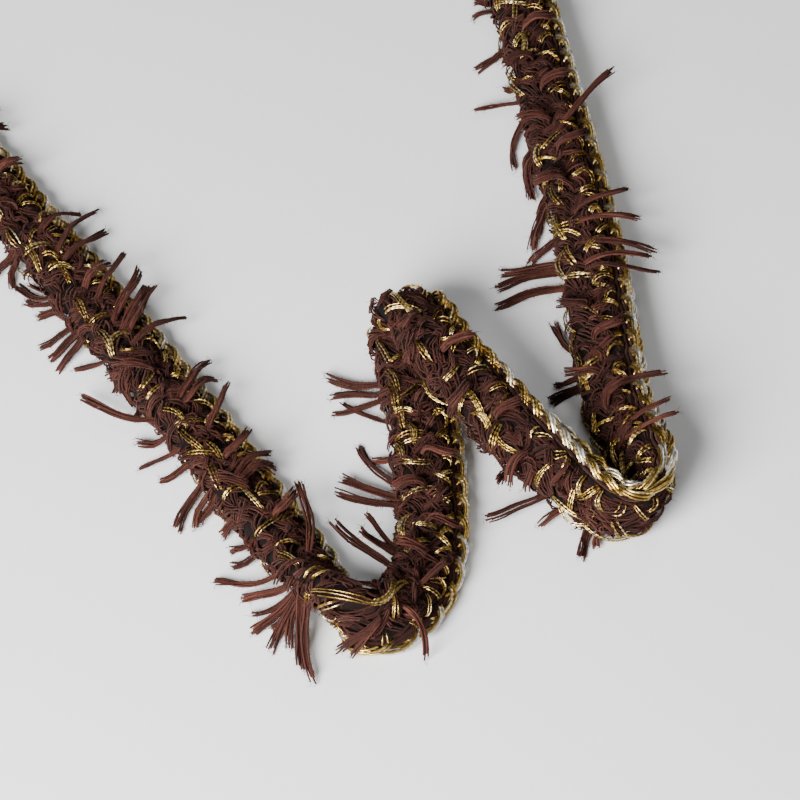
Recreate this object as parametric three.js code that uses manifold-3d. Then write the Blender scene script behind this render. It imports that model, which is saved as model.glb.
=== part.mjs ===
// Boucle fringe trim: a cut length of narrow knitted braid in brown yarn with gold threads, a
// chain-stitched gold edge along one side, and cut locks of yarn that stand out of the other side
// and of the middle of the face. It lies on its side in a loose zigzag: one long straight stretch,
// a turn where it rolls over its chain edge, a short flat stretch, a fold-over that carries it
// back across itself, a turn where it stands on its free edge, and a last long stretch.
// Millimetres, +Z up. The origin is on the surface, under the middle of the short flat stretch.

import * as THREE from 'three';
import { mergeVertices } from 'three/addons/utils/BufferGeometryUtils.js';
import Module from 'manifold-3d';

const wasm = await Module();
wasm.setup();

// Across the trim: 0 is the middle line, plus is towards the chain edge.
const band = { middle: -0.7, halfWidth: 3.5, halfThickness: 2.0, corner: 0.6, sides: 12 };
const chain = { middle: 4.25, halfWidth: 1.1, halfThickness: 1.05, waist: 0.7, sides: 5 };
const edgeStrip = { middle: -5.05, halfWidth: 0.38, halfThickness: 0.75 };
const faceStrip = { middle: -0.7, lift: 2.1, halfWidth: 0.45, halfThickness: 0.35 };
const furrow = 1.1; // depth of the furrow along the middle of each face, for the strip of locks
const stitch = 3.6; // length of one knitted or chain stitch along the trim
const stitchRelief = 0.4; // how far a knit stitch stands above its neighbour
// Below the lower height stitches and furrow are pressed flat, above the upper one they are full.
const pressed = { below: 0.2, above: 1.4 };

// Half widths of a lock along its length, its thickness as a share of its width, how it leaves
// its strip, and how the locks of a cluster are fanned, set apart and uneven in length.
const lock = { root: 0.4, middle: 0.58, tip: 0.8, flatness: 0.6, sides: 4, steps: 3 };
const leave = { faceRise: 3.6, faceLean: 0.25, edgeShare: 0.5 };
const cluster = { spacing: 1.3, fan: 1.5, alternate: 0.07, outer: 0.05 };
const tuft = { start: 1.2, pitch: 6.4, reach: 4.6, rise: 4.3, sway: 1.6, bend: 3, clear: 2.4,
  steps: 2 };

// The longest step between rings, and the most the trim may bend or twist from one to the next.
const ringSteps = {
  band: { step: stitch / 2, bend: 20 },
  chain: { step: stitch / 3, bend: 26 },
  strip: { step: stitch, bend: 16 },
  search: 0.3,
};

// The zigzag, a row for each section: where its middle is, how high, which way the chain edge
// points in plan (turn, degrees from +X) and how far it points up (tilt, degrees).
const sections = [
  { x: -76.4, y: 74.4, z: 1.9, turn: 32, tilt: -8 },
  { x: -57.3, y: 46.3, z: 1.9, turn: 32, tilt: -8 },
  { x: -44.5, y: 27.5, z: 1.9, turn: 32, tilt: -9 },
  { x: -32, y: 8.6, z: 1.95, turn: 32, tilt: -11 },
  { x: -23.9, y: -4.4, z: 2.1, turn: 32, tilt: -15 },
  { x: -18, y: -13.5, z: 2.7, turn: 30, tilt: -22 },
  { x: -14.5, y: -19.7, z: 3.8, turn: 22, tilt: -40 },
  { x: -11.6, y: -23.8, z: 5.35, turn: -30, tilt: -66 },
  { x: -7.3, y: -25.3, z: 4.45, turn: -70, tilt: -56 },
  { x: -3.3, y: -22.2, z: 3.5, turn: -55, tilt: -32 },
  { x: -0.7, y: -16.2, z: 2.15, turn: -24, tilt: -14 },
  { x: 0.2, y: -9, z: 1.8, turn: -3, tilt: -3 },
  { x: 0.1, y: 0.3, z: 1.7, turn: 0, tilt: 0 },
  { x: -0.6, y: 9.8, z: 1.7, turn: 4, tilt: 0 },
  { x: -2.1, y: 18.1, z: 1.75, turn: 8, tilt: 0 },
  { x: -3.4, y: 25.4, z: 1.95, turn: 8, tilt: -3 },
  { x: -3.9, y: 27.7, z: 2.9, turn: 14, tilt: -14 },
  { x: -3.9, y: 28.8, z: 5.25, turn: 22, tilt: -21 },
  { x: -3.2, y: 28, z: 7.6, turn: 30, tilt: -14 },
  { x: -1.9, y: 26, z: 8.55, turn: 37, tilt: -3 },
  { x: 2.2, y: 18.4, z: 8.4, turn: 40, tilt: 5 },
  { x: 7.3, y: 12.2, z: 7.4, turn: 40, tilt: 15 },
  { x: 11.7, y: 6.6, z: 6.3, turn: 38, tilt: 30 },
  { x: 16.4, y: 1.7, z: 5.7, turn: 38, tilt: 48 },
  { x: 21.4, y: -3.4, z: 5.3, turn: 36, tilt: 66 },
  { x: 24.9, y: -6.3, z: 5.3, turn: 25, tilt: 76 },
  { x: 27.4, y: -7.2, z: 5.3, turn: -10, tilt: 81 },
  { x: 29.9, y: -5.8, z: 5.3, turn: -50, tilt: 76 },
  { x: 31, y: -2.8, z: 5.2, turn: -35, tilt: 63 },
  { x: 30.4, y: 1, z: 4.8, turn: -14, tilt: 49 },
  { x: 28.9, y: 5.6, z: 4.3, turn: -4, tilt: 40 },
  { x: 26.8, y: 12.7, z: 3.6, turn: 2, tilt: 34 },
  { x: 25.6, y: 23.1, z: 2.95, turn: 6, tilt: 24 },
  { x: 24.7, y: 33.3, z: 2.6, turn: 8, tilt: 18 },
  { x: 23.7, y: 43.2, z: 2.4, turn: 10, tilt: 15 },
  { x: 21.9, y: 55.3, z: 2.3, turn: 14, tilt: 13 },
  { x: 16.9, y: 83.4, z: 2.25, turn: 16, tilt: 12 },
  { x: 11.2, y: 113.6, z: 2.25, turn: 16, tilt: 12 },
];

// The four stretches between the turns: where their strips start and end along the trim, and
// which face shows (1 is the face that shows on the first stretch, -1 the other).
const stretches = [
  { name: 'a', edgeFrom: 2, edgeTo: 115, faceFrom: 2, faceTo: 112, shows: 1 },
  { name: 'b', edgeFrom: 120, edgeTo: 171, faceFrom: 122, faceTo: 157, shows: -1 },
  { name: 'c', edgeFrom: 192, edgeTo: 231, faceFrom: 189, faceTo: 226, shows: 1 },
  { name: 'd', edgeFrom: 235, edgeTo: 353, faceFrom: 246, faceTo: 353, shows: -1 },
];

// The clusters of long locks, a row for each: the strip it roots in, where along the trim, and
// where its tips lie: forward along the trim, to its right, and their height over the surface.
const clusters = [
  { strip: 'face_a', at: 12, forward: -1, right: -8.5, height: 3, locks: 2 },
  { strip: 'face_a', at: 35, forward: -2.7, right: -8.3, height: 1, locks: 1 },
  { strip: 'face_a', at: 40, forward: -6.8, right: -10.9, height: 1.5, locks: 1 },
  { strip: 'face_a', at: 42, forward: -3.9, right: -9.6, height: 1, locks: 1 },
  { strip: 'face_a', at: 51, forward: -4.2, right: -7.1, height: 6, locks: 1 },
  { strip: 'face_a', at: 56, forward: -6.6, right: -7.9, height: 5, locks: 1 },
  { strip: 'face_a', at: 58, forward: -5.7, right: -7.9, height: 4, locks: 1 },
  { strip: 'face_a', at: 59, forward: -5.7, right: -8.7, height: 4, locks: 1 },
  { strip: 'face_a', at: 61, forward: -1.7, right: -9, height: 2.5, locks: 1 },
  { strip: 'face_a', at: 74, forward: -4, right: -8.3, height: 1.5, locks: 2 },
  { strip: 'face_a', at: 81, forward: -7.1, right: -8.3, height: 3, locks: 1 },
  { strip: 'face_a', at: 90, forward: -0.5, right: -6.2, height: 3.5, locks: 2 },
  { strip: 'face_a', at: 108, forward: -11.4, right: -5.2, height: 7, locks: 1 },
  { strip: 'edge_a', at: 9, forward: 2, right: 10.5, height: 0, locks: 3 },
  { strip: 'edge_a', at: 24, forward: 1, right: 9, height: 0, locks: 3 },
  { strip: 'edge_a', at: 35, forward: 2, right: 8.6, height: 0, locks: 2 },
  { strip: 'edge_a', at: 46, forward: -5.4, right: 7.4, height: 0, locks: 2 },
  { strip: 'edge_a', at: 48, forward: -2.8, right: 6.8, height: 0, locks: 1 },
  { strip: 'edge_a', at: 53, forward: 1.1, right: 10.8, height: 0, locks: 3 },
  { strip: 'edge_a', at: 60, forward: -2.3, right: 8.2, height: 0, locks: 1 },
  { strip: 'edge_a', at: 63, forward: 3.5, right: 5.2, height: 0, locks: 2 },
  { strip: 'edge_a', at: 69, forward: 1.9, right: 5.4, height: 0, locks: 1 },
  { strip: 'edge_a', at: 74, forward: -9.5, right: 11.5, height: 2, locks: 1 },
  { strip: 'edge_a', at: 77, forward: -2.3, right: 8, height: 0, locks: 1 },
  { strip: 'edge_a', at: 80, forward: -1.5, right: 9.6, height: 0, locks: 1 },
  { strip: 'edge_a', at: 83, forward: -1, right: 8.3, height: 0, locks: 1 },
  { strip: 'edge_a', at: 87, forward: 3.7, right: 11.5, height: 0, locks: 1 },
  { strip: 'edge_a', at: 89, forward: 2.5, right: 8.4, height: 0, locks: 1 },
  { strip: 'edge_a', at: 90, forward: 2.1, right: 7.3, height: 0, locks: 1 },
  { strip: 'edge_a', at: 95, forward: 0.2, right: 6, height: 0, locks: 1 },
  { strip: 'edge_a', at: 100, forward: -1.8, right: 6.7, height: 0, locks: 1 },
  { strip: 'edge_a', at: 102, forward: -1.8, right: 7.7, height: 0, locks: 1 },
  { strip: 'edge_a', at: 108, forward: -5.3, right: 11.3, height: 0, locks: 1 },
  { strip: 'edge_a', at: 111, forward: -4.5, right: 9.6, height: 0, locks: 1 },
  { strip: 'edge_a', at: 113, forward: -2, right: 9.4, height: 0, locks: 2 },
  { strip: 'edge_a', at: 113, forward: 1.3, right: 11.7, height: 0, locks: 2 },
  { strip: 'edge_a', at: 113, forward: 4, right: 8.1, height: 0, locks: 1 },
  { strip: 'edge_a', at: 114, forward: 8.6, right: 8.3, height: 0, locks: 2 },
  { strip: 'edge_b', at: 133, forward: 4.4, right: -14.3, height: 6, locks: 1 },
  { strip: 'edge_b', at: 138, forward: 1.4, right: -9.6, height: 7, locks: 2 },
  { strip: 'edge_b', at: 148, forward: 4, right: -13.9, height: 1.5, locks: 2 },
  { strip: 'edge_b', at: 148, forward: 1, right: -8.3, height: 0, locks: 1 },
  { strip: 'edge_b', at: 151, forward: 8.8, right: -9.3, height: 0, locks: 1 },
  { strip: 'edge_b', at: 157, forward: -0.4, right: -7.4, height: 0, locks: 1 },
  { strip: 'edge_b', at: 163, forward: 5.8, right: -10.1, height: 0, locks: 1 },
  { strip: 'edge_b', at: 169, forward: 1.8, right: -12.6, height: 0, locks: 3 },
  { strip: 'face_b', at: 123, forward: -4.8, right: 3.2, height: 0.6, locks: 1 },
  { strip: 'face_b', at: 123, forward: -6.3, right: 1.7, height: 0.6, locks: 1 },
  { strip: 'face_b', at: 126, forward: -0.6, right: 7.3, height: 1, locks: 1 },
  { strip: 'face_b', at: 130, forward: 5.5, right: 2.6, height: 6, locks: 1 },
  { strip: 'edge_c', at: 215, forward: 0.7, right: 7.5, height: 5, locks: 1 },
  { strip: 'edge_c', at: 221, forward: -3.5, right: 11.3, height: 2, locks: 1 },
  { strip: 'edge_c', at: 224, forward: -1.1, right: 6.4, height: 1.5, locks: 1 },
  { strip: 'edge_c', at: 228, forward: 1.9, right: 6.7, height: 0, locks: 1 },
  { strip: 'edge_c', at: 229, forward: 1.7, right: 3.8, height: 0, locks: 1 },
  { strip: 'edge_d', at: 262, forward: -1.3, right: -8.7, height: 0, locks: 2 },
  { strip: 'edge_d', at: 267, forward: 6.8, right: -6.8, height: 0, locks: 1 },
  { strip: 'edge_d', at: 280, forward: -1.7, right: -14.5, height: 0, locks: 1 },
  { strip: 'edge_d', at: 284, forward: -0.4, right: -14.5, height: 0, locks: 2 },
  { strip: 'edge_d', at: 290, forward: -3.7, right: -8.4, height: 0, locks: 1 },
  { strip: 'edge_d', at: 298, forward: -7.9, right: -7.6, height: 0, locks: 2 },
  { strip: 'edge_d', at: 308, forward: -7.8, right: -6.9, height: 0, locks: 2 },
  { strip: 'edge_d', at: 315, forward: -9.7, right: -7.3, height: 0, locks: 1 },
  { strip: 'edge_d', at: 318, forward: 0.5, right: -11, height: 0, locks: 1 },
  { strip: 'edge_d', at: 322, forward: 0.1, right: -6, height: 0, locks: 1 },
  { strip: 'edge_d', at: 330, forward: -3.6, right: -9.1, height: 0, locks: 1 },
  { strip: 'edge_d', at: 339, forward: 0.6, right: -7.8, height: 0, locks: 2 },
  { strip: 'edge_d', at: 349, forward: 2, right: -9, height: 0, locks: 2 },
  { strip: 'face_d', at: 248, forward: -0.1, right: 6.4, height: 9.5, locks: 2 },
  { strip: 'face_d', at: 256, forward: 0, right: 6.7, height: 9, locks: 1 },
  { strip: 'face_d', at: 281, forward: -1.3, right: 9.7, height: 5.5, locks: 2 },
  { strip: 'face_d', at: 286, forward: -4.5, right: 9, height: 5.5, locks: 1 },
  { strip: 'face_d', at: 290, forward: -2.1, right: 7.7, height: 6, locks: 1 },
  { strip: 'face_d', at: 292, forward: 1.7, right: 7, height: 6.5, locks: 1 },
  { strip: 'face_d', at: 308, forward: 9.7, right: 10.2, height: 6.5, locks: 1 },
  { strip: 'face_d', at: 338, forward: -1, right: 8, height: 5.5, locks: 1 },
];

const brown = { color: 0x502d28, roughness: 0.95, metalness: 0 };
const gold = { color: 0xb48c3c, roughness: 0.4, metalness: 0.7 };

const radians = THREE.MathUtils.degToRad;

// The middle line and the way the chain edge points, both run through the rows of the table.
const middleLine = new THREE.CatmullRomCurve3(
  sections.map((row) => new THREE.Vector3(row.x, row.y, row.z)), false, 'centripetal');
middleLine.arcLengthDivisions = 2000;
const chainSide = new THREE.CatmullRomCurve3(sections.map((row) => new THREE.Vector3(
  Math.cos(radians(row.tilt)) * Math.cos(radians(row.turn)),
  Math.cos(radians(row.tilt)) * Math.sin(radians(row.turn)),
  Math.sin(radians(row.tilt)))), false, 'catmullrom');
const trimLength = middleLine.getLength();

// The trim's own axes at a distance along it: t forward, c to the chain edge, n out of face 1.
function frameAt(distance) {
  const at = middleLine.getUtoTmapping(0, distance);
  const t = middleLine.getTangent(at);
  const c = chainSide.getPoint(at);
  c.addScaledVector(t, -c.dot(t)).normalize();
  return { p: middleLine.getPoint(at), t, c, n: new THREE.Vector3().crossVectors(t, c) };
}

// A point of the trim: a distance along it, across it towards the chain, and out of face 1.
function pointAt(frame, across, out) {
  return frame.p.clone().addScaledVector(frame.c, across).addScaledVector(frame.n, out);
}

// Where the rings of a swept piece go: one for each step, and closer where the trim bends.
function stops(from, to, { step, bend }) {
  const count = Math.round((to - from) / ringSteps.search);
  const found = [from];
  let last = frameAt(from);
  for (let k = 1; k < count; k++) {
    const distance = THREE.MathUtils.lerp(from, to, k / count);
    const frame = frameAt(distance);
    const bent = Math.max(frame.t.angleTo(last.t), frame.c.angleTo(last.c)) > radians(bend);
    if (bent || distance - found.at(-1) > step - ringSteps.search / 2) {
      found.push(distance);
      last = frame;
    }
  }
  found.push(to);
  return found;
}

// A closed bar of rings and sides whose every point is put in place by a function.
function bar(rings, sides, place) {
  const shape = new THREE.CylinderGeometry(1, 1, 1, sides, rings - 1);
  shape.deleteAttribute('normal');
  shape.deleteAttribute('uv');
  const solid = mergeVertices(shape, 1e-4);
  const position = solid.attributes.position;
  for (let k = 0; k < position.count; k++) {
    const ring = Math.round((position.getY(k) + 0.5) * (rings - 1));
    const point = place(ring, position.getX(k), -position.getZ(k));
    position.setXYZ(k, point.x, point.y, Math.max(point.z, 0));
  }
  return solid;
}

// A power that keeps the sign, to square off the corners of a round section.
function squared(value, corner) {
  return Math.sign(value) * Math.abs(value) ** corner;
}

// The knitted band: a rounded flat section with a furrow along each face, and a row of raised
// stitches on both sides of the furrow, pressed flat where the band rests.
function knitBand() {
  const rings = stops(0, trimLength, ringSteps.band);
  const frames = rings.map(frameAt);
  return bar(rings.length, band.sides, (ring, x, y) => {
    const across = band.middle + band.halfWidth * squared(x, band.corner);
    const plain = band.halfThickness * squared(y, band.corner);
    const height = pointAt(frames[ring], across, plain).z;
    const free = THREE.MathUtils.smoothstep(height, pressed.below, pressed.above);
    const onFace = Math.abs(y) > Math.abs(x);
    const inFurrow = Math.abs(x) < Math.abs(y) / band.sides;
    const halfStitch = x > 0 ? 0.5 : 0;
    const wave = Math.cos(2 * Math.PI * (rings[ring] / stitch + halfStitch));
    const relief = inFurrow ? -furrow : stitchRelief * wave;
    return pointAt(frames[ring], across, onFace ? plain + Math.sign(y) * relief * free : plain);
  });
}

// The chain edge: a row of plump stitches with waists between them.
function chainEdging() {
  const rings = stops(0, trimLength, ringSteps.chain);
  const frames = rings.map(frameAt);
  return bar(rings.length, chain.sides, (ring, x, y) => {
    const swell = Math.abs(Math.sin(Math.PI * rings[ring] / stitch));
    const plump = THREE.MathUtils.lerp(chain.waist, 1, swell);
    return pointAt(frames[ring], chain.middle + chain.halfWidth * plump * x,
      chain.halfThickness * plump * y);
  });
}

// A narrow four-sided strip along the trim, the backing that locks are fused into.
function strip(from, to, size, out) {
  const rings = stops(from, to, ringSteps.strip);
  const frames = rings.map(frameAt);
  return bar(rings.length, 4, (ring, x, y) => pointAt(frames[ring],
    size.middle + size.halfWidth * (x - y), out + size.halfThickness * (x + y)));
}

// One lock: from its root along a curve to its tip, wider towards the cut end, its broad side
// kept level. A tip with no height lies flat on the surface.
function lockShape(root, bend, tip, steps) {
  if (tip.z === 0) bend.z = 0;
  const curve = new THREE.QuadraticBezierCurve3(root, bend, tip);
  const level = new THREE.Vector3(tip.y - root.y, root.x - tip.x, 0).normalize();
  return bar(steps + 1, lock.sides, (ring, x, y) => {
    const part = ring / steps;
    const along = curve.getTangent(part);
    const above = new THREE.Vector3().crossVectors(level, along).normalize();
    const side = new THREE.Vector3().crossVectors(along, above);
    const half = part < 0.5 ? THREE.MathUtils.lerp(lock.root, lock.middle, part * 2)
      : THREE.MathUtils.lerp(lock.middle, lock.tip, part * 2 - 1);
    const middle = curve.getPoint(part);
    middle.z = Math.max(middle.z, half * lock.flatness);
    return middle.addScaledVector(side, half * (y - x))
      .addScaledVector(above, half * lock.flatness * (x + y));
  });
}

// The way a lock leaves its strip: out of the free edge, or up out of the face that shows.
function departure(frame, stretch, onFace, reach) {
  if (!onFace) return frame.c.clone().multiplyScalar(-leave.edgeShare * reach);
  return frame.n.clone().multiplyScalar(stretch.shows * leave.faceRise);
}

// Long locks of one cluster, fanned a little about the cluster's own direction.
function clusterLocks(row, stretch, onFace) {
  const locks = [];
  for (let k = 0; k < row.locks; k++) {
    const fan = k - (row.locks - 1) / 2;
    const frame = frameAt(row.at + fan * cluster.spacing);
    const ahead = new THREE.Vector3(frame.t.x, frame.t.y, 0).normalize();
    const right = new THREE.Vector3(ahead.y, -ahead.x, 0);
    const root = onFace ? pointAt(frame, faceStrip.middle, stretch.shows * faceStrip.lift)
      : pointAt(frame, edgeStrip.middle, 0);
    const length = 1 - cluster.alternate * (k % 2) - cluster.outer * Math.abs(fan);
    const tip = frame.p.clone().addScaledVector(ahead, row.forward + fan * cluster.fan)
      .addScaledVector(right, row.right * length);
    tip.z = row.height;
    const bend = root.clone().add(departure(frame, stretch, onFace, root.distanceTo(tip)));
    if (onFace) bend.addScaledVector(tip.clone().sub(root).setZ(0), leave.faceLean);
    locks.push(lockShape(root, bend, tip, lock.steps));
  }
  return locks;
}

// Short tufts at even steps along a strip of the face, left out where long locks root.
function tufts(stretch, taken) {
  const locks = [];
  const last = stretch.faceTo - tuft.start;
  for (let k = 0, at = stretch.faceFrom + tuft.start; at < last; k++, at += tuft.pitch) {
    if (taken.some((place) => Math.abs(place - at) < tuft.clear)) continue;
    const frame = frameAt(at);
    const side = k % 2 ? 1 : -1;
    const root = pointAt(frame, faceStrip.middle, stretch.shows * faceStrip.lift);
    const tip = pointAt(frame, faceStrip.middle + side * tuft.reach, stretch.shows * tuft.rise)
      .addScaledVector(frame.t, tuft.sway * Math.sin(at));
    const bend = root.clone().addScaledVector(frame.n, stretch.shows * tuft.bend);
    locks.push(lockShape(root, bend, tip, tuft.steps));
  }
  return locks;
}

function solidOf(geometry) {
  return new wasm.Manifold(new wasm.Mesh({
    numProp: 3,
    vertProperties: new Float32Array(geometry.attributes.position.array),
    triVerts: new Uint32Array(geometry.index.array),
  }));
}

// Joins a backing strip and its locks into one solid.
function joined(geometries) {
  const mesh = geometries.map(solidOf).reduce((whole, piece) => whole.add(piece)).getMesh();
  const geometry = new THREE.BufferGeometry();
  geometry.setAttribute('position', new THREE.BufferAttribute(mesh.vertProperties, mesh.numProp));
  geometry.setIndex(new THREE.BufferAttribute(mesh.triVerts, 1));
  return geometry;
}

function fringe(stretch, onFace) {
  const kind = onFace ? 'face' : 'edge';
  const own = clusters.filter((row) => row.strip === `${kind}_${stretch.name}`);
  const backing = onFace
    ? strip(stretch.faceFrom, stretch.faceTo, faceStrip, stretch.shows * faceStrip.lift)
    : strip(stretch.edgeFrom, stretch.edgeTo, edgeStrip, 0);
  const locks = own.flatMap((row) => clusterLocks(row, stretch, onFace));
  if (onFace) locks.push(...tufts(stretch, own.map((row) => row.at)));
  return joined([backing, ...locks]);
}

const trim = new THREE.Group();

function addPiece(name, geometry, finish) {
  const mesh = new THREE.Mesh(geometry, new THREE.MeshStandardMaterial(finish));
  mesh.name = name;
  mesh.geometry.computeVertexNormals();
  trim.add(mesh);
}

addPiece('knit_band', knitBand(), brown);
addPiece('chain_edging', chainEdging(), gold);
for (const stretch of stretches) {
  addPiece(`edge_fringe_${stretch.name}`, fringe(stretch, false), brown);
  addPiece(`face_fringe_${stretch.name}`, fringe(stretch, true), brown);
}

export default trim;
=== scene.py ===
import math

import bmesh
import bpy
import numpy as np
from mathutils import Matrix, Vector


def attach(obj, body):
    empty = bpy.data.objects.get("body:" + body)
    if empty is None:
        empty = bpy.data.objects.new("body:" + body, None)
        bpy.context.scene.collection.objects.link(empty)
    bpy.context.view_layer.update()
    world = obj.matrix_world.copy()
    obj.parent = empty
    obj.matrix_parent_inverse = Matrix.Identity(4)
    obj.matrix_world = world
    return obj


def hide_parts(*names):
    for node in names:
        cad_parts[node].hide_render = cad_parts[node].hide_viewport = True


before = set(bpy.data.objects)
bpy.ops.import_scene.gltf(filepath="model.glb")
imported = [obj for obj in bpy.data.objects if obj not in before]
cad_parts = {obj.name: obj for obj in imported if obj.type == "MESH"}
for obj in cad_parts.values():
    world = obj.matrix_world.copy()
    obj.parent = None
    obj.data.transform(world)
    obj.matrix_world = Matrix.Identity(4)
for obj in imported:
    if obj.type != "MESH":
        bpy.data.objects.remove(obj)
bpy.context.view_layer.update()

MM = 0.001
SEED = 7142
chance = np.random.default_rng(SEED)

# The trim's line in millimetres, as in the part's source. Columns: x, y and z of its middle, which
# way the chain edge points in plan (degrees from +X) and how far that edge points up (degrees).
SECTIONS = np.array([
    (-76.4, 74.4, 1.9, 32, -8), (-57.3, 46.3, 1.9, 32, -8), (-44.5, 27.5, 1.9, 32, -9),
    (-32, 8.6, 1.95, 32, -11), (-23.9, -4.4, 2.1, 32, -15), (-18, -13.5, 2.7, 30, -22),
    (-14.5, -19.7, 3.8, 22, -40), (-11.6, -23.8, 5.35, -30, -66), (-7.3, -25.3, 4.45, -70, -56),
    (-3.3, -22.2, 3.5, -55, -32), (-0.7, -16.2, 2.15, -24, -14), (0.2, -9, 1.8, -3, -3),
    (0.1, 0.3, 1.7, 0, 0), (-0.6, 9.8, 1.7, 4, 0), (-2.1, 18.1, 1.75, 8, 0),
    (-3.4, 25.4, 1.95, 8, -3), (-3.9, 27.7, 2.9, 14, -14), (-3.9, 28.8, 5.25, 22, -21),
    (-3.2, 28, 7.6, 30, -14), (-1.9, 26, 8.55, 37, -3), (2.2, 18.4, 8.4, 40, 5),
    (7.3, 12.2, 7.4, 40, 15), (11.7, 6.6, 6.3, 38, 30), (16.4, 1.7, 5.7, 38, 48),
    (21.4, -3.4, 5.3, 36, 66), (24.9, -6.3, 5.3, 25, 76), (27.4, -7.2, 5.3, -10, 81),
    (29.9, -5.8, 5.3, -50, 76), (31, -2.8, 5.2, -35, 63), (30.4, 1, 4.8, -14, 49),
    (28.9, 5.6, 4.3, -4, 40), (26.8, 12.7, 3.6, 2, 34), (25.6, 23.1, 2.95, 6, 24),
    (24.7, 33.3, 2.6, 8, 18), (23.7, 43.2, 2.4, 10, 15), (21.9, 55.3, 2.3, 14, 13),
    (16.9, 83.4, 2.25, 16, 12), (11.2, 113.6, 2.25, 16, 12),
])

# The clusters of long locks. Columns: the strip they root in, where along the trim, where the
# tips lie (forward along the trim, to its right, height over the surface), and how many locks.
CLUSTERS = [
    ("face_a", 12, -1, -8.5, 3, 2), ("face_a", 35, -2.7, -8.3, 1, 1), ("face_a", 40, -6.8, -10.9, 1.5, 1),
    ("face_a", 42, -3.9, -9.6, 1, 1), ("face_a", 51, -4.2, -7.1, 6, 1), ("face_a", 56, -6.6, -7.9, 5, 1),
    ("face_a", 58, -5.7, -7.9, 4, 1), ("face_a", 59, -5.7, -8.7, 4, 1), ("face_a", 61, -1.7, -9, 2.5, 1),
    ("face_a", 74, -4, -8.3, 1.5, 2), ("face_a", 81, -7.1, -8.3, 3, 1),
    ("face_a", 90, -0.5, -6.2, 3.5, 2), ("face_a", 108, -11.4, -5.2, 7, 1), ("edge_a", 9, 2, 10.5, 0, 3),
    ("edge_a", 24, 1, 9, 0, 3), ("edge_a", 35, 2, 8.6, 0, 2), ("edge_a", 46, -5.4, 7.4, 0, 2),
    ("edge_a", 48, -2.8, 6.8, 0, 1), ("edge_a", 53, 1.1, 10.8, 0, 3), ("edge_a", 60, -2.3, 8.2, 0, 1),
    ("edge_a", 63, 3.5, 5.2, 0, 2), ("edge_a", 69, 1.9, 5.4, 0, 1), ("edge_a", 74, -9.5, 11.5, 2, 1),
    ("edge_a", 77, -2.3, 8, 0, 1), ("edge_a", 80, -1.5, 9.6, 0, 1), ("edge_a", 83, -1, 8.3, 0, 1),
    ("edge_a", 87, 3.7, 11.5, 0, 1), ("edge_a", 89, 2.5, 8.4, 0, 1), ("edge_a", 90, 2.1, 7.3, 0, 1),
    ("edge_a", 95, 0.2, 6, 0, 1), ("edge_a", 100, -1.8, 6.7, 0, 1), ("edge_a", 102, -1.8, 7.7, 0, 1),
    ("edge_a", 108, -5.3, 11.3, 0, 1), ("edge_a", 111, -4.5, 9.6, 0, 1), ("edge_a", 113, -2, 9.4, 0, 2),
    ("edge_a", 113, 1.3, 11.7, 0, 2), ("edge_a", 113, 4, 8.1, 0, 1), ("edge_a", 114, 8.6, 8.3, 0, 2),
    ("edge_b", 133, 4.4, -14.3, 6, 1), ("edge_b", 138, 1.4, -9.6, 7, 2),
    ("edge_b", 148, 4, -13.9, 1.5, 2), ("edge_b", 148, 1, -8.3, 0, 1), ("edge_b", 151, 8.8, -9.3, 0, 1),
    ("edge_b", 157, -0.4, -7.4, 0, 1), ("edge_b", 163, 5.8, -10.1, 0, 1),
    ("edge_b", 169, 1.8, -12.6, 0, 3), ("face_b", 123, -4.8, 3.2, 0.6, 1),
    ("face_b", 123, -6.3, 1.7, 0.6, 1), ("face_b", 126, -0.6, 7.3, 1, 1), ("face_b", 130, 5.5, 2.6, 6, 1),
    ("edge_c", 215, 0.7, 7.5, 5, 1), ("edge_c", 221, -3.5, 11.3, 2, 1),
    ("edge_c", 224, -1.1, 6.4, 1.5, 1), ("edge_c", 228, 1.9, 6.7, 0, 1), ("edge_c", 229, 1.7, 3.8, 0, 1),
    ("edge_d", 262, -1.3, -8.7, 0, 2), ("edge_d", 267, 6.8, -6.8, 0, 1),
    ("edge_d", 280, -1.7, -14.5, 0, 1), ("edge_d", 284, -0.4, -14.5, 0, 2),
    ("edge_d", 290, -3.7, -8.4, 0, 1), ("edge_d", 298, -7.9, -7.6, 0, 2),
    ("edge_d", 308, -7.8, -6.9, 0, 2), ("edge_d", 315, -9.7, -7.3, 0, 1), ("edge_d", 318, 0.5, -11, 0, 1),
    ("edge_d", 322, 0.1, -6, 0, 1), ("edge_d", 330, -3.6, -9.1, 0, 1), ("edge_d", 339, 0.6, -7.8, 0, 2),
    ("edge_d", 349, 2, -9, 0, 2), ("face_d", 248, -0.1, 6.4, 9.5, 2), ("face_d", 256, 0, 6.7, 9, 1),
    ("face_d", 281, -1.3, 9.7, 5.5, 2), ("face_d", 286, -4.5, 9, 5.5, 1),
    ("face_d", 290, -2.1, 7.7, 6, 1), ("face_d", 292, 1.7, 7, 6.5, 1), ("face_d", 308, 9.7, 10.2, 6.5, 1),
    ("face_d", 338, -1, 8, 5.5, 1),
]

# The stretches between the turns. Columns: where the locks of the face start and end, and which
# face shows (1 or -1).
STRETCHES = {"a": (2, 112, 1), "b": (122, 157, -1), "c": (189, 226, 1), "d": (246, 353, -1)}

# Sizes in millimetres, across the trim from its middle line towards the chain edge, or out of
# its face. The band's section is squarer than an ellipse, which would have 1 here.
STITCH = 3.6
BAND_MIDDLE, BAND_HALF_WIDTH, BAND_HALF_THICKNESS = -0.7, 3.5, 2.0
EDGE_ROOT, FACE_ROOT_LIFT = -5.05, 2.1
CHAIN_MIDDLE = 4.25
SQUARENESS = 0.6


# The line of the trim.

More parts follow.
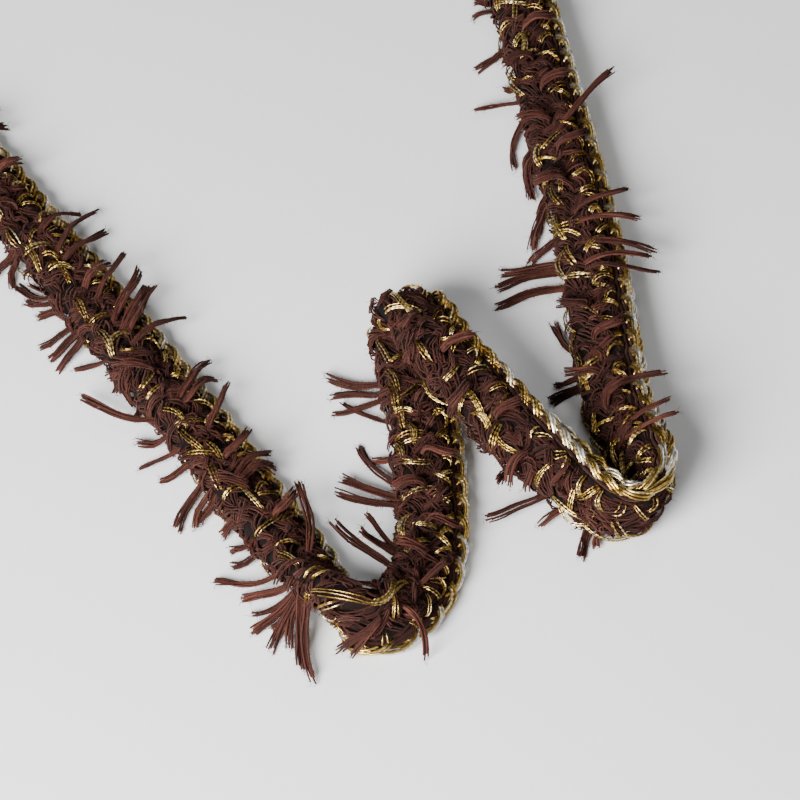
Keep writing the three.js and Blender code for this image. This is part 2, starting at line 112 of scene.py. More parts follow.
def smooth_line(rows, even):
    """Points of a smooth line through the rows, 40 to a span; even spaces it by distance."""
    ends = np.vstack([2 * rows[0] - rows[1], rows, 2 * rows[-1] - rows[-2]])
    t = np.linspace(0, 1, 40, endpoint=False)[:, None]
    line = []
    for before, start, end, after in zip(ends, ends[1:], ends[2:], ends[3:]):
        leave, arrive = (end - before) / 2, (after - start) / 2
        if even:
            first, step, last = (np.linalg.norm(b - a) ** 0.5
                                 for a, b in ((before, start), (start, end), (end, after)))
            leave = ((start - before) / first - (end - before) / (first + step)) * step + end - start
            arrive = end - start - (after - start) / (step + last) * step + (after - end) / last * step
        line.append(start + leave * t + (3 * (end - start) - 2 * leave - arrive) * t ** 2
                    + (2 * (start - end) + leave + arrive) * t ** 3)
    return np.vstack(line + [rows[-1:]])


def unit(vectors):
    """The same vectors, each of length 1."""
    return vectors / np.linalg.norm(vectors, axis=-1, keepdims=True)


turn, tilt = np.radians(SECTIONS[:, 3]), np.radians(SECTIONS[:, 4])
middle = smooth_line(SECTIONS[:, :3], True)
ahead = unit(np.gradient(middle, axis=0))
chain_way = smooth_line(np.stack([np.cos(tilt) * np.cos(turn), np.cos(tilt) * np.sin(turn),
                                  np.sin(tilt)], axis=1), False)
chain_way = unit(chain_way - np.sum(chain_way * ahead, axis=1, keepdims=True) * ahead)
along_line = np.concatenate([[0], np.cumsum(np.linalg.norm(np.diff(middle, axis=0), axis=1))])
LENGTH = along_line[-1]


def axes_at(along):
    """The trim's middle, its forward way and the way to its chain edge, at distances along it."""
    place, forward, chain = (
        np.stack([np.interp(along, along_line, table[:, k]) for k in range(3)], axis=-1)
        for table in (middle, ahead, chain_way))
    return place, unit(forward), unit(chain)


def on_trim(along, across, out):
    """Points in millimetres from distances along the trim, across it and out of face 1."""
    along, across, out = np.broadcast_arrays(along, across, out)
    place, forward, chain = axes_at(along)
    return place + chain * across[..., None] + np.cross(forward, chain) * out[..., None]


# Once round the band's section: 0 at the chain side, 0.25 on face 1, 0.5 at the free edge.
angle = np.linspace(0, 2 * np.pi, 721)
round_across = BAND_HALF_WIDTH * np.sign(np.cos(angle)) * np.abs(np.cos(angle)) ** SQUARENESS
round_out = BAND_HALF_THICKNESS * np.sign(np.sin(angle)) * np.abs(np.sin(angle)) ** SQUARENESS
round_length = np.concatenate([[0], np.cumsum(np.hypot(np.diff(round_across), np.diff(round_out)))])
GIRTH = round_length[-1]
round_part = round_length / GIRTH


def on_band(along, around, lift):
    """Points on the band's skin, at a part of the way round it and lifted off it."""
    along, around, lift = np.broadcast_arrays(along, around, lift)
    part = around % 1
    across, out = np.interp(part, round_part, round_across), np.interp(part, round_part, round_out)
    way = np.interp(part, round_part, angle)
    lean_across, lean_out = np.cos(way) * 0.7 * np.abs(np.cos(way)), np.sin(way)
    size = np.hypot(lean_across, lean_out)
    return on_trim(np.clip(along, 0, LENGTH), BAND_MIDDLE + across + lift * lean_across / size,
                   out + lift * lean_out / size)


# Strands: thin tubes along lines.

class Strands:
    """Lines of points with a thickness and a shade, spun into one mesh of thin tubes."""

    def __init__(self):
        self.lines = []

    def add(self, points, radius, shade, twist=0.0):
        """Keeps a line, on or above the floor. A twisted one gets painted glints and painted shade by
        turns: its tone is light where the plies would catch the light and dark in the grooves between
        them.
        """
        points = np.array(points, dtype=float)
        radius = np.broadcast_to(radius, len(points)).copy()
        points[:, 2] = np.maximum(points[:, 2], radius)
        steps = np.linalg.norm(np.diff(points, axis=0), axis=1)
        tilts = twist * np.concatenate([[0], np.cumsum(steps)])
        shades = np.full(len(points), shade)
        # Painted glints and painted groove shade: the tone rises and falls with each half turn of the
        # twist.
        if twist:
            shades = shade * (0.25 + 0.75 * np.abs(np.cos(tilts)))
        self.lines.append((points, radius, tilts, shades))

    def spin(self, name, section, finish):
        """Draws the section along every line, as one mesh that carries each point's shade."""
        profile = bpy.data.curves.new(name + "_section", "CURVE")
        outline = profile.splines.new("POLY")
        outline.points.add(len(section) - 1)
        for point, (x, y) in zip(outline.points, section):
            point.co = (x * MM, y * MM, 0, 1)
        outline.use_cyclic_u = len(section) > 2
        rim = bpy.data.objects.new(name + "_section", profile)
        curve = bpy.data.curves.new(name + "_lines", "CURVE")
        curve.dimensions = "3D"
        curve.bevel_mode = "OBJECT"
        curve.bevel_object = rim
        curve.twist_mode = "MINIMUM"
        for points, radius, tilts, _ in self.lines:
            spline = curve.splines.new("POLY")
            spline.points.add(len(points) - 1)
            places = np.column_stack([points * MM, np.ones(len(points))])
            spline.points.foreach_set("co", places.ravel())
            spline.points.foreach_set("radius", radius)
            spline.points.foreach_set("tilt", tilts)
            spline.use_smooth = True
        lines = bpy.data.objects.new(name + "_lines", curve)
        for thing in (rim, lines):
            bpy.context.collection.objects.link(thing)
        bpy.context.view_layer.update()
        drawn = lines.evaluated_get(bpy.context.evaluated_depsgraph_get())
        mesh = bpy.data.meshes.new_from_object(drawn)
        bpy.data.objects.remove(lines)
        bpy.data.objects.remove(rim)
        mesh.name = name
        shades = np.concatenate([np.repeat(tones, len(section)) for *_, tones in self.lines])
        tone = mesh.attributes.new("tone", "FLOAT", "POINT")
        tone.data.foreach_set("value", np.resize(shades, len(mesh.vertices)))
        mesh.polygons.foreach_set("use_smooth", np.ones(len(mesh.polygons), dtype=bool))
        mesh.materials.clear()
        mesh.materials.append(finish)
        piece = bpy.data.objects.new(name, mesh)
        bpy.context.collection.objects.link(piece)
        return piece


def settle(piece, stands_for=None):
    """The piece rides the one body, and may stand for a solid, whose part is then hidden."""
    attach(piece, "root")
    if stands_for:
        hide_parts(stands_for)


def ring(sides, flat=1.0):
    """A round section of unit size, or flattened for a thread of two plies."""
    return [(math.cos(2 * math.pi * k / sides), flat * math.sin(2 * math.pi * k / sides))
            for k in range(sides)]


# Sections, which each strand's own radius scales. A fibre is flat.
PLY = ring(4, 0.55)
CHAIN_PLY = ring(4, 0.8)
STRAND = ring(3)
FIBRE = ring(2)

# A metal thread turns once in 1.4 mm, with a painted glint in its tone every half turn, and has a point
# every 0.195 mm to show it.
PLY_TURN = 2 * math.pi / 1.4
PLY_STEP = 0.195

ANY_PHASE = 6.28
TIP = 0.1


def ends_closed(count, radius):
    """A radius for each point of a line that closes to a tip at both ends."""
    sizes = np.full(count, float(radius))
    sizes[[0, -1]] = radius * TIP
    return sizes


def spread(amount):
    """A random amount to either side of nothing."""
    return chance.uniform(-amount, amount)


# Finishes.

class Wire:
    """A socket of a finish, for use in sums."""

    def __init__(self, finish, socket):
        self.finish, self.socket = finish, socket

    def sum(self, operation, *others):
        return self.finish.add("ShaderNodeMath", {"operation": operation}, dict(enumerate(others)))

    def __add__(self, other):
        return self.sum("ADD", self, other)

    def __radd__(self, other):
        return self.sum("ADD", other, self)

    def __sub__(self, other):
        return self.sum("SUBTRACT", self, other)

    def __rsub__(self, other):
        return self.sum("SUBTRACT", other, self)

    def __mul__(self, other):
        return self.sum("MULTIPLY", self, other)

    def __rmul__(self, other):
        return self.sum("MULTIPLY", other, self)

    def __truediv__(self, other):
        return self.sum("DIVIDE", self, other)

    def __rtruediv__(self, other):
        return self.sum("DIVIDE", other, self)

    def __pow__(self, other):
        return self.sum("POWER", self, other)

    def clear(self):
        return self.finish.add("ShaderNodeClamp", {}, {0: self})


class Finish:
    """A material and its nodes."""

    def __init__(self, name):
        self.material = bpy.data.materials.new(name)
        self.material.use_nodes = True
        self.nodes = self.material.node_tree.nodes
        self.links = self.material.node_tree.links
        self.nodes.clear()

    def add(self, kind, settings=None, sockets=None, out=0):
        """Any node, with its settings and what goes into its sockets; gives back one of its outputs."""
        node = self.nodes.new(kind)
        for key, value in (settings or {}).items():
            if key == "stops":
                ramp = node.color_ramp
                while len(ramp.elements) < len(value):
                    ramp.elements.new(0.5)
                for element, (place, colour) in zip(ramp.elements, value):
                    element.position, element.color = place, (*colour, 1)
            else:
                setattr(node, key, value)
        for key, value in (sockets or {}).items():
            if isinstance(value, Wire):
                self.links.new(value.socket, node.inputs[key])
            else:
                node.inputs[key].default_value = value
        return Wire(self, node.outputs[out])

    def place(self):
        return self.add("ShaderNodeTexCoord", out="Object")

    def tone(self):
        return self.add("ShaderNodeAttribute", {"attribute_name": "tone"}, out="Fac")

    def noise(self, size, detail=2.0, rough=0.5):
        """Noise whose spots are about this many millimetres."""
        return self.add("ShaderNodeTexNoise", {}, {
            "Vector": self.place(), "Scale": 1 / (size * MM), "Detail": detail, "Roughness": rough})

    def shades(self, part, dark, mid, light):
        """A colour from dark over mid to light."""
        stops = [(0.0, dark), (0.5, mid), (1.0, light)]
        return self.add("ShaderNodeValToRGB", {"stops": stops}, {0: part})

    def mix(self, part, first, second):
        node = self.nodes.new("ShaderNodeMix")
        node.data_type = "RGBA"
        factor, from_colour, to_colour = node.inputs[0], node.inputs[6], node.inputs[7]
        self.links.new(part.socket, factor)
        from_colour.default_value, to_colour.default_value = (*first, 1), (*second, 1)
        return Wire(self, node.outputs[2])

    def bump(self, height, depth, strength):
        return self.add("ShaderNodeBump", {}, {
            "Height": height, "Distance": depth * MM, "Strength": strength})

    def done(self, **sockets):
        """The material, with its surface shader given these values and wires."""
        surface = self.add("ShaderNodeBsdfPrincipled", {}, {
            key.replace("_", " "): value for key, value in sockets.items()}, out="BSDF")
        output = self.nodes.new("ShaderNodeOutputMaterial")
        self.links.new(surface.socket, output.inputs["Surface"])
        return self.material


def brown_wool(name, dark, mid, light, sheen):
    """Soft matt brown yarn: each strand has its own tone, with fibres lying along it."""
    f = Finish(name)
    fibres = f.noise(0.13, 3.0, 0.65)
    patches = f.noise(3.0, 1.0)
    part = (f.tone() * 0.55 + fibres * 0.7 + patches * 0.4 - 0.45).clear()
    colour = f.shades(part, dark, mid, light)
    return f.done(Base_Color=colour, Roughness=0.95, Sheen_Weight=sheen, Sheen_Roughness=0.5,
                  Sheen_Tint=(0.95, 0.5, 0.4, 1), Specular_IOR_Level=0.15,
                  Normal=f.bump(fibres, 0.06, 1.0))


def metal_thread(name, dark, mid, light, rough):
    """Shiny twisted thread: a metal film over a thread core, with small dents that glint. The point
    tone carries the twist's painted glints and painted groove shade into the colour.
    """
    f = Finish(name)
    dents = f.noise(0.5, 1.0, 0.5)
    worn = f.noise(1.6, 1.0)
    # The tone brings the painted glints and painted groove shade of the twist, as well as a random tone
    # per thread.
    part = (f.tone() * 1.1 + dents * 0.3 + worn * 0.6 - 0.4).clear()
    colour = f.shades(part, dark, mid, light)
    return f.done(Base_Color=colour, Metallic=1.0, Roughness=(dents * 0.15 + rough),
                  Normal=f.bump(dents, 0.06, 0.5))


def floor_finish():
    """Pale matt paper with a faint grain."""
    f = Finish("pale_floor")
    colour = f.mix(f.noise(0.9, 2.0), (0.70, 0.70, 0.705), (0.73, 0.73, 0.735))
    return f.done(Base_Color=colour, Roughness=0.75, Specular_IOR_Level=0.2)


yarn_brown = brown_wool(
    "brown_yarn_finish", (0.005, 0.0011, 0.0006), (0.025, 0.0058, 0.0034), (0.115, 0.038, 0.026),
    sheen=0.06)
lock_brown = brown_wool(
    "brown_lock_finish", (0.008, 0.0019, 0.0011), (0.037, 0.0092, 0.0056), (0.140, 0.048, 0.033),
    sheen=0.06)
# The core's brown is the yarn's brown, darkened as painted shade for the gaps between the strands.
shade_dark_core_brown = brown_wool(
    "brown_core_painted_shade_finish", (0.002, 0.0006, 0.0004), (0.008, 0.0024, 0.0015), (0.024, 0.0075, 0.0050),
    sheen=0.0)
# The light ends of gold and silver are pale metal tints that the random tone reaches, and the painted
# glint colour at the peaks of the twist's tone.
gold = metal_thread(
    "gold_thread_finish", (0.10, 0.052, 0.010), (0.58, 0.38, 0.10), (1.0, 0.88, 0.52), rough=0.24)
silver = metal_thread(
    "silver_thread_finish", (0.30, 0.25, 0.17), (0.80, 0.73, 0.60), (0.99, 0.98, 0.95), rough=0.28)


# The band's core: brown yarn darkened as painted shade for the deep gaps between the strands.

CORE_SHIFT, CORE_HALF_WIDTH, CORE_HALF_THICKNESS, CORE_RIDGE = 0.3, 3.6, 1.7, 0.22
OFF_FLOOR = 0.02


def band_core():
    """The knitted band under its stitches: a rounded flat bar laid along the trim's line, with
    slanting ridges where the yarn of each stitch lies. Its brown is darkened as painted shade
    for the deep gaps between the strands."""
    rings, sides = 400, 20
    bm = bmesh.new()
    bmesh.ops.create_cone(bm, cap_ends=True, cap_tris=False, segments=sides, radius1=1, radius2=1, depth=1)
    long_edges = [e for e in bm.edges if abs(e.verts[0].co.z - e.verts[1].co.z) > 0.5]
    bmesh.ops.subdivide_edges(bm, edges=long_edges, cuts=rings - 1, use_grid_fill=True)
    bm.verts.ensure_lookup_table()
    along = np.array([(v.co.z + 0.5) * LENGTH for v in bm.verts])
    x, y = np.array([v.co.x for v in bm.verts]), np.array([v.co.y for v in bm.verts])
    ridge = CORE_RIDGE * np.sin(2 * np.pi * along / STITCH * 2 + 4 * np.abs(x)) * (0.4 + np.abs(y))
    across = (CORE_HALF_WIDTH + ridge) * np.sign(x) * np.abs(x) ** SQUARENESS
    out = (CORE_HALF_THICKNESS + ridge) * np.sign(y) * np.abs(y) ** SQUARENESS
    points = on_trim(along, BAND_MIDDLE + CORE_SHIFT + across, out)
    for v, point in zip(bm.verts, points):
        v.co = (point[0] * MM, point[1] * MM, max(point[2], OFF_FLOOR) * MM)
    bmesh.ops.recalc_face_normals(bm, faces=bm.faces)
    for face in bm.faces:
        face.smooth = True
    mesh = bpy.data.meshes.new("band_core")
    bm.to_mesh(mesh)
    bm.free()
    mesh.materials.append(shade_dark_core_brown)
    piece = bpy.data.objects.new("band_core", mesh)
    bpy.context.collection.objects.link(piece)
    return piece


# Stitches on the band.

def bundle(strands, start, end, count, radius, width, under, rise, step, bow=0.0, wobble=0.1,
           twist=0.0, tone=0.5, loose=0.0):
    """A bundle of side-by-side strands laid over the band's skin from start to end, each given as
    (distance along, part of the way round). It dives under at both ends and rises in between, or
    ends loose above the skin, cut off blunt."""
    reach = np.array([end[0] - start[0], (end[1] - start[1]) * GIRTH])
    long = np.hypot(*reach)
    points = max(4, int(long / step) + 1)
    t = np.linspace(0, 1, points)
    side = np.array([-reach[1], reach[0]]) / long
    swing = chance.uniform(0, ANY_PHASE)
    for k in range(count):
        place = (k - (count - 1) / 2) * width / count
        phase = chance.uniform(0, ANY_PHASE, 3)
        share = chance.uniform(0.88, 1.0) if loose else 1
        spacing = 0.8 + 0.35 * t if loose else 0.75 + 0.25 * np.sin(np.pi * t)
        sway = bow * np.sin(np.pi * t) + place * spacing + wobble * np.sin(4 * t + phase[0]) \
            + 0.6 * wobble * np.sin(0.9 * long * t + phase[2]) + 1.5 * wobble * np.sin(5 * t + swing)
        crown = 1 - (2 * place / width) ** 2
        hump = np.sin(0.5 * np.pi * t) if loose else np.sin(np.pi * t) ** 0.7
        lift = under + (rise + loose * t) * hump * (0.7 + 0.3 * crown) \
            + 0.8 * wobble * np.sin(9 * t + phase[1])
        slip = spread(0.2)
        along = start[0] + reach[0] * t * share + side[0] * sway + slip
        around = start[1] + (reach[1] * t * share + side[1] * sway) / GIRTH
        size = radius * chance.uniform(0.8, 1.15)
        sizes = ends_closed(points, size)
        if loose:
            sizes[-1] = size
            along, around, lift = (np.append(line, line[-1]) for line in (along, around, lift))
            lift[-1] += 0.03
            sizes = np.append(sizes, size * TIP)
        strands.add(on_band(along, around, lift), sizes, np.clip(tone + spread(0.35), 0, 1), twist)


CHAIN_SIDE = 0.2


def way_round(face, part):
    """Part of the way round the band, for a part of the way over face 0 or 1 from the chain side
    (0) to the free edge (1)."""
    return 1 - 0.5 * part if face else 0.5 * part


def brown_stitch(strands, face, at):
    """The brown yarn of one stitch on one face: two thick bundles that part from the middle, one
    along the chain side, small loops all over the face, and a few ends that come loose."""
    for side in (-1, 1):
        start = (at - 1.4 + spread(0.8), way_round(face, 0.5 + side * 0.02 + spread(0.05)))
        end = (at + 2.2 + spread(0.9), way_round(face, 0.5 + side * 0.33 + spread(0.06)))
        bundle(strands, start, end, count=5, radius=0.2, width=2.2, under=-0.2,
               rise=0.4 + spread(0.2), step=0.95, bow=side * 0.5 + spread(0.4), tone=0.2)
    start = (at - 1.8 + spread(0.5), way_round(face, 0.13))
    end = (at + 2.6 + spread(0.5), way_round(face, 0.17))
    bundle(strands, start, end, count=4, radius=0.16, width=1.3, under=-0.1,
           rise=0.35 + spread(0.2), step=0.85, bow=spread(0.5), tone=0.4)
    for part in (0.24, 0.3, 0.42, 0.5, 0.6, 0.74, 0.9, 1.0):
        lean = chance.uniform(0.5, 4.0) * chance.choice([-1, 1])
        start = (at + spread(1.8), way_round(face, max(CHAIN_SIDE, part + spread(0.12))))
        over = chance.uniform(0.12, 0.36) * chance.choice([-1, 1])
        end = (start[0] + lean, way_round(face, max(CHAIN_SIDE, part + over)))
        bundle(strands, start, end, count=chance.integers(2, 6), radius=0.155, width=1.1,
               under=-0.1, rise=chance.uniform(0.3, 1.1), step=0.75, bow=spread(1.3), wobble=0.14)
    for _ in range(2):
        start = (at + spread(1.8), way_round(face, chance.uniform(0.35, 0.8)))
        end = (start[0] + spread(3.4),
               way_round(face, max(CHAIN_SIDE, chance.choice([0.2, 0.5, 1.0]) + spread(0.2))))
        if abs(end[1] - start[1]) * GIRTH + abs(end[0] - start[0]) > 2:
            bundle(strands, start, end, count=chance.integers(3, 7), radius=0.15, width=1.1,
                   under=-0.1, rise=0.6, step=0.75, bow=spread(0.7), wobble=0.12, tone=0.6,
                   loose=chance.uniform(0.0, 1.0))


def gold_stitch(strands, face, at):
    """The gold of one stitch on one face: two bundles down from the chain edge, and now and then a
    long run along the free half or a short crossing to it."""
    for lean in (-1, 1):
        if chance.random() < 0.8:
            start = (at + 0.3 * lean + spread(0.4), way_round(face, 0.10))
            end = (at + 2.0 * lean + spread(0.9), way_round(face, 0.34 + spread(0.12)))
            bundle(strands, start, end, count=chance.integers(2, 5), radius=0.14, width=0.85,
                   under=0.15, rise=0.75 + spread(0.25), step=PLY_STEP, bow=spread(0.5),
                   wobble=0.05, twist=PLY_TURN)
    if chance.random() < 0.6:
        start = (at + spread(1.5), way_round(face, 0.74 + spread(0.14)))
        end = (start[0] + chance.uniform(3.5, 6.5), start[1] + spread(0.06))
        bundle(strands, start, end, count=chance.integers(3, 5), radius=0.14, width=0.95,
               under=0.1, rise=1.0 + spread(0.2), step=PLY_STEP, bow=spread(0.6),
               wobble=0.05, twist=PLY_TURN)
    if chance.random() < 0.55:
        lean = spread(3.0)
        start = (at + spread(1.2), way_round(face, 0.42 + spread(0.14)))
        end = (at + lean, way_round(face, 0.85 + spread(0.14)))
        bundle(strands, start, end, count=3, radius=0.16, width=0.9,
               under=0.0, rise=0.9 + spread(0.2), step=PLY_STEP, bow=spread(0.7),
               wobble=0.05, twist=PLY_TURN)


def chain_heart(faces):
    """The brown yarn that the chain is worked over."""
    along = np.arange(0, LENGTH, 0.9)
    for face, out in ((0, 0.75), (0, 0.25), (1, -0.25), (1, -0.75)):
        for across, squeeze in ((CHAIN_MIDDLE - 0.9, 1), (CHAIN_MIDDLE - 0.25, 0.7)):
            sway = 0.12 * np.sin(1.7 * along + 3 * out) + 0.08 * np.sin(0.6 * along + across)
            faces[face].add(on_trim(along, across + sway, out * squeeze + sway),
                            ends_closed(len(along), 0.34), 0.2)


def cut_ends(faces):
    """The cut ends of the band's yarn, at both ends of the trim."""
    sizes = np.array([0.17, 0.17, 0.17, 0.16, 0.01])
    for at, beyond in ((0, -1), (LENGTH, 1)):
        for _ in range(150):
            across, out = BAND_MIDDLE + spread(3.2), spread(1.5)
            place = on_trim(at, across, out)
            _, forward, chain = axes_at(at)
            way = forward * beyond + chain * spread(0.5) + np.cross(forward, chain) * spread(0.6)
            t = np.linspace(-0.8, chance.uniform(0.5, 1.4), 4)[:, None]
            line = np.vstack([place + forward * beyond * t[:2], place + way * t[2:],
                              place + way * (t[-1] + 0.04)])
            faces[0 if out > 0 else 1].add(line, sizes, chance.uniform(0.2, 0.8))


brown_faces, gold_faces = [Strands(), Strands()], [Strands(), Strands()]
for k in range(int(LENGTH / STITCH)):
    for face in (0, 1):
        brown_stitch(brown_faces[face], face, (k + 0.5) * STITCH)
        gold_stitch(gold_faces[face], face, (k + 0.5) * STITCH)
chain_heart(brown_faces)
cut_ends(brown_faces)
for face, number in enumerate(("one", "two")):
    settle(brown_faces[face].spin("yarn_stitches_face_" + number, STRAND, yarn_brown))
    settle(gold_faces[face].spin("gold_stitches_face_" + number, PLY, gold))

core = band_core()
settle(core, "knit_band")


# The chain edge.

def chain_edge():
    """The chain edge: each link is two legs that part forward and close under the next link."""
    threads = {"gold": Strands(), "silver": Strands()}
    part = np.array([0, 0.25, 0.5, 0.75, 0.9, 1.0])
    t = np.linspace(0, 1, int(1.5 * STITCH / PLY_STEP))
    forward = np.interp(t, part, [0, 0.40, 0.82, 1.18, 1.32, 1.38]) * STITCH
    apart = np.interp(t, part, [0.15, 0.6, 1.02, 1.08, 0.85, 0.6])
    height = np.interp(t, part, [-0.7, 0.45, 0.62, 0.0, -0.6, -0.75])
    for line in (forward, apart, height):
        for _ in range(3):
            line[1:-1] = (line[:-2] + 2 * line[1:-1] + line[2:]) / 4
    for k in range(int(LENGTH / STITCH)):
        start = k * STITCH + spread(0.15)
        for side in (-1, 1):
            pale = chance.random() < 0.6
            for j in range(5):
                width = (j - 2) * 0.32
                out = side * (apart + width * 0.55)
                along = np.clip(start + forward - width * 1.1 + spread(0.08), 0, LENGTH)
                across = CHAIN_MIDDLE + 0.2 + 0.85 * height + (0.2 if j % 2 else -0.15) \
                    + 0.03 * np.sin(6 * t + j + k)
                kind = "silver" if pale and j in (1, 2, 3) else "gold"
                threads[kind].add(on_trim(along, across, out), ends_closed(len(t), 0.255),
                                  chance.uniform(0.1, 1.0), PLY_TURN)
    settle(threads["gold"].spin("chain_gold_threads", CHAIN_PLY, gold), "chain_edging")
    settle(threads["silver"].spin("chain_silver_threads", CHAIN_PLY, silver))


chain_edge()


# Cut locks.

LOCK_STEP, LOCK_RADIUS, LOCK_TONE = 0.9, 0.17, 0.55
ROOT_DEPTH = 1.2

# The locks of a cluster are this far apart at their roots, and their tips this much further.
ROOT_GAP, TIP_FAN = 1.3, 1.7

# Short tufts on a face: how far in from its ends they start, how far apart they are and how far
# they stay from long locks, then how far their tips reach aside, up and along, and their bend.
TUFT_START, TUFT_PITCH, TUFT_CLEAR = 1.2, 6.4, 2.4
TUFT_REACH, TUFT_RISE, TUFT_SWAY, TUFT_BEND = 4.6, 4.3, 1.6, 3


def curved(root, bend, tip, t):
    t = t[:, None]
    return (1 - t) ** 2 * root + 2 * t * (1 - t) * bend + t * t * tip


def lock(strands, root, bend, tip, count, half):
    """One lock: a flat bundle of soft strands from its root to a blunt cut end, about
    twice half wide."""
    reach = np.linalg.norm(bend - root) + np.linalg.norm(tip - bend)
    level = unit(np.array([tip[1] - root[1], root[0] - tip[0], 0.0]))
    points = max(6, int(reach / LOCK_STEP))
    turn = spread(0.6)
    sway = chance.uniform(0, ANY_PHASE, 2)
    shade = LOCK_TONE + spread(0.2)
    for k in range(count):
        place = (k + spread(0.3)) / max(count - 1, 1) * 2 - 1
        layer = spread(1)
        t = np.linspace(0, 1 + chance.uniform(-0.06, 0.02), points)
        line = curved(root, bend, tip, t)
        forward = unit(np.gradient(line, axis=0))
        above = unit(np.cross(level, forward))
        width = np.interp(t, [0, 0.3, 0.8, 1.0], [0.6, 0.75, 0.9, 1.1]) * half
        phase = chance.uniform(0, ANY_PHASE, 2)
        wave = 0.07 * np.sin(6 * t + phase[0]) + 0.05 * np.sin(15 * t + phase[1]) \
            + 0.45 * np.sin(5 * t + sway[0]) * t
        roll = turn * t
        sideways = place * width * np.cos(roll) - layer * 0.45 * width * np.sin(roll) + wave
        upwards = layer * 0.45 * width * np.cos(roll) + place * width * np.sin(roll) \
            + 0.07 * np.sin(8 * t + phase[1]) + 0.3 * np.sin(4.5 * t + sway[1]) * t
        line = line + level * sideways[:, None] + above * upwards[:, None]
        radius = LOCK_RADIUS * chance.uniform(0.8, 1.2) * np.interp(t, [0, 0.85, 1.0], [1, 1, 0.75])
        line = np.vstack([line, line[-1] + forward[-1] * 0.05])
        radius = np.append(radius, 0.01)
        strands.add(line, radius, np.clip(shade + spread(0.35), 0, 1))


def cluster(strands, kind, shows, at, forward, right, height, number):
    """The long locks of one cluster, fanned out from their roots."""
    for k in range(number):
        fan = k - (number - 1) / 2
        along = at + fan * ROOT_GAP
        place, way, chain = axes_at(along)
        flat = unit(np.array([way[0], way[1], 0.0]))
        side = np.array([flat[1], -flat[0], 0.0])
        reach = 1 - 0.07 * (k % 2) - 0.05 * abs(fan) + spread(0.04)
        tip = place + flat * (forward + fan * TIP_FAN + spread(0.4)) + side * right * reach
        tip[2] = max(height + spread(0.4), 0.4)
        if kind == "face":
            root = on_trim(along, BAND_MIDDLE, shows * FACE_ROOT_LIFT)
            bend = root + np.cross(way, chain) * shows * 2.8 + 0.3 * (tip - root) * np.array([1, 1, 0])
            half = chance.uniform(0.3, 0.6)
        else:
            root = on_trim(along, EDGE_ROOT + ROOT_DEPTH, 0.0)
            bend = root - chain * 0.2 * np.linalg.norm(tip - root) + 0.2 * (tip - root)
            if height == 0:
                bend[2] = 0.5 + chance.uniform(0, 0.8)
            half = chance.uniform(0.4, 0.68)
        lock(strands, root, bend, tip, 3 + int(8 * half), half)


def tufts(strands, start, end, shows, taken):
    """Short tufts at even steps along a face, left out where long locks root."""
    at, side = start + TUFT_START, -1
    while at < end - TUFT_START:
        if all(abs(place - at) >= TUFT_CLEAR for place in taken):
            root = on_trim(at, BAND_MIDDLE, shows * FACE_ROOT_LIFT)
            tip = on_trim(at + TUFT_SWAY * math.sin(at), BAND_MIDDLE + side * TUFT_REACH,
                          shows * TUFT_RISE)
            _, way, chain = axes_at(at)
            bend = root + np.cross(way, chain) * shows * TUFT_BEND
            lock(strands, root, bend, tip, 7, 0.6)
        at += TUFT_PITCH
        side = -side


def locks_of(strip):
    """All the locks of one strip: its clusters of long locks, and short tufts on a face."""
    kind, stretch = strip.split("_")
    start, end, shows = STRETCHES[stretch]
    strands = Strands()
    rows = [row for where, *row in CLUSTERS if where == strip]
    for row in rows:
        cluster(strands, kind, shows, *row)
    if kind == "face":
        tufts(strands, start, end, shows, [row[0] for row in rows])
    return strands


all_locks = []
for stretch in STRETCHES:
    for kind in ("edge", "face"):
        locks = locks_of(kind + "_" + stretch)
        all_locks.append(locks)
        settle(locks.spin(kind + "_locks_" + stretch, STRAND, lock_brown),
               kind + "_fringe_" + stretch)


# Loose fibres.

def add_fibres(fibres, strands, each_mm, longest):
    """Single fine fibres that leave the strands in all directions."""
    sizes = np.array([0.032, 0.026, 0.012])
    for points, *_ in strands.lines:
        length = np.linalg.norm(np.diff(points, axis=0), axis=1).sum()
        for _ in range(chance.poisson(length * each_mm)):
            k = chance.integers(1, len(points) - 1)
            tangent = unit(points[k + 1] - points[k - 1] + 1e-6)
            way = unit(unit(chance.normal(size=3)) + tangent * chance.uniform(-0.5, 1.2))
            bent = unit(way + 0.9 * unit(chance.normal(size=3)))
            long = chance.uniform(0.3, longest)
            start = points[k] + spread(0.3) * tangent
            elbow = start + way * 0.5 * long
            fibres.add(np.array([start, elbow, elbow + bent * 0.5 * long]), sizes,
                       chance.uniform(0.4, 1.0))


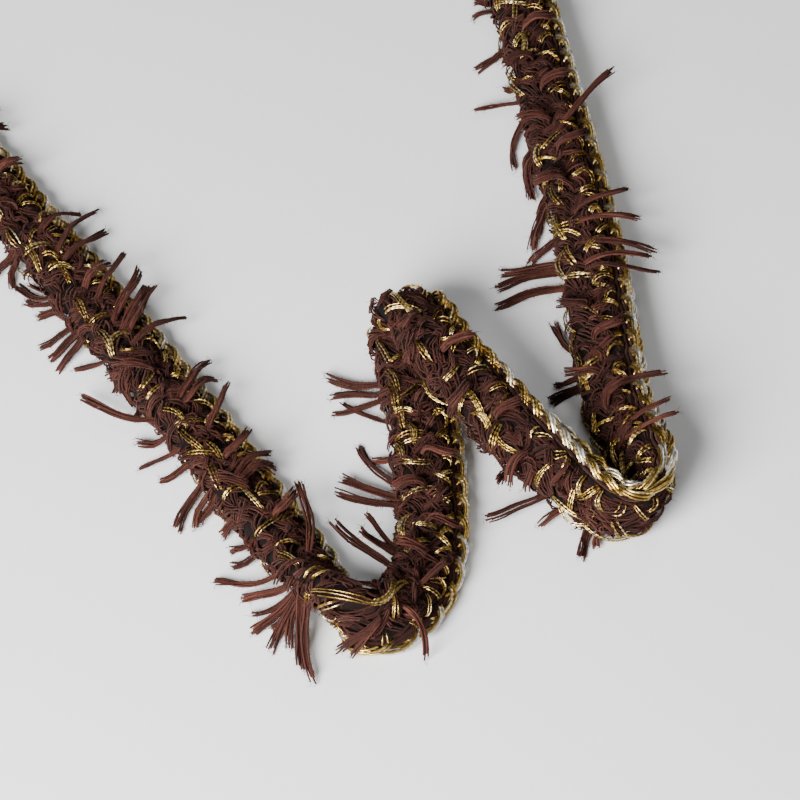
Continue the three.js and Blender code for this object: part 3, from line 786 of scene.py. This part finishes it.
fibres = Strands()
for locks in all_locks:
    add_fibres(fibres, locks, 2.0, 1.0)
for stitches in brown_faces:
    add_fibres(fibres, stitches, 0.5, 1.3)
settle(fibres.spin("loose_fibres", FIBRE, lock_brown))


# Floor, light and camera.

def floor():
    bm = bmesh.new()
    bmesh.ops.create_grid(bm, x_segments=8, y_segments=8, size=1.6)
    mesh = bpy.data.meshes.new("pale_floor")
    bm.to_mesh(mesh)
    bm.free()
    mesh.materials.append(floor_finish())
    piece = bpy.data.objects.new("pale_floor", mesh)
    bpy.context.collection.objects.link(piece)


def soft_light(name, place, aim, size, power):
    lamp = bpy.data.lights.new(name, "AREA")
    lamp.shape, lamp.size, lamp.energy = "DISK", size, power
    thing = bpy.data.objects.new(name, lamp)
    thing.location = place
    thing.rotation_euler = (Vector(aim) - Vector(place)).to_track_quat("-Z", "Y").to_euler()
    bpy.context.collection.objects.link(thing)


def camera():
    """Looks down at the zigzag from in front, as the photo does, through a long lens."""
    aim = Vector((-4, 17, 0)) * MM
    away = 600 * MM
    lean = math.radians(50)
    focal_pixels, picture_pixels, film_width = 4200, 800, 36
    lens = bpy.data.cameras.new("camera")
    lens.lens, lens.sensor_width = focal_pixels / picture_pixels * film_width, film_width
    lens.clip_start, lens.clip_end = 0.05, 10
    eye = bpy.data.objects.new("camera", lens)
    eye.location = aim + Vector((0, -math.cos(lean), math.sin(lean))) * away
    eye.rotation_euler = (math.radians(90) - lean, 0, 0)
    bpy.context.collection.objects.link(eye)
    bpy.context.scene.camera = eye


def studio():
    """A faint cool light from all round."""
    world = bpy.data.worlds.new("studio")
    bpy.context.scene.world = world
    world.use_nodes = True
    background = world.node_tree.nodes["Background"]
    background.inputs["Color"].default_value = (0.95, 0.97, 1.0, 1)
    background.inputs["Strength"].default_value = 0.04


floor()
camera()
soft_light("front_left_softbox", (-0.24, -0.36, 0.25), (0, 0.0, 0), size=0.32, power=13.4)
soft_light("overhead_softbox", (0.05, 0.0, 1.2), (0, 0.02, 0), size=1.0, power=3.2)
soft_light("rear_right_glint", (0.25, 0.5, 0.55), (0, 0.02, 0), size=0.2, power=1.0)
studio()
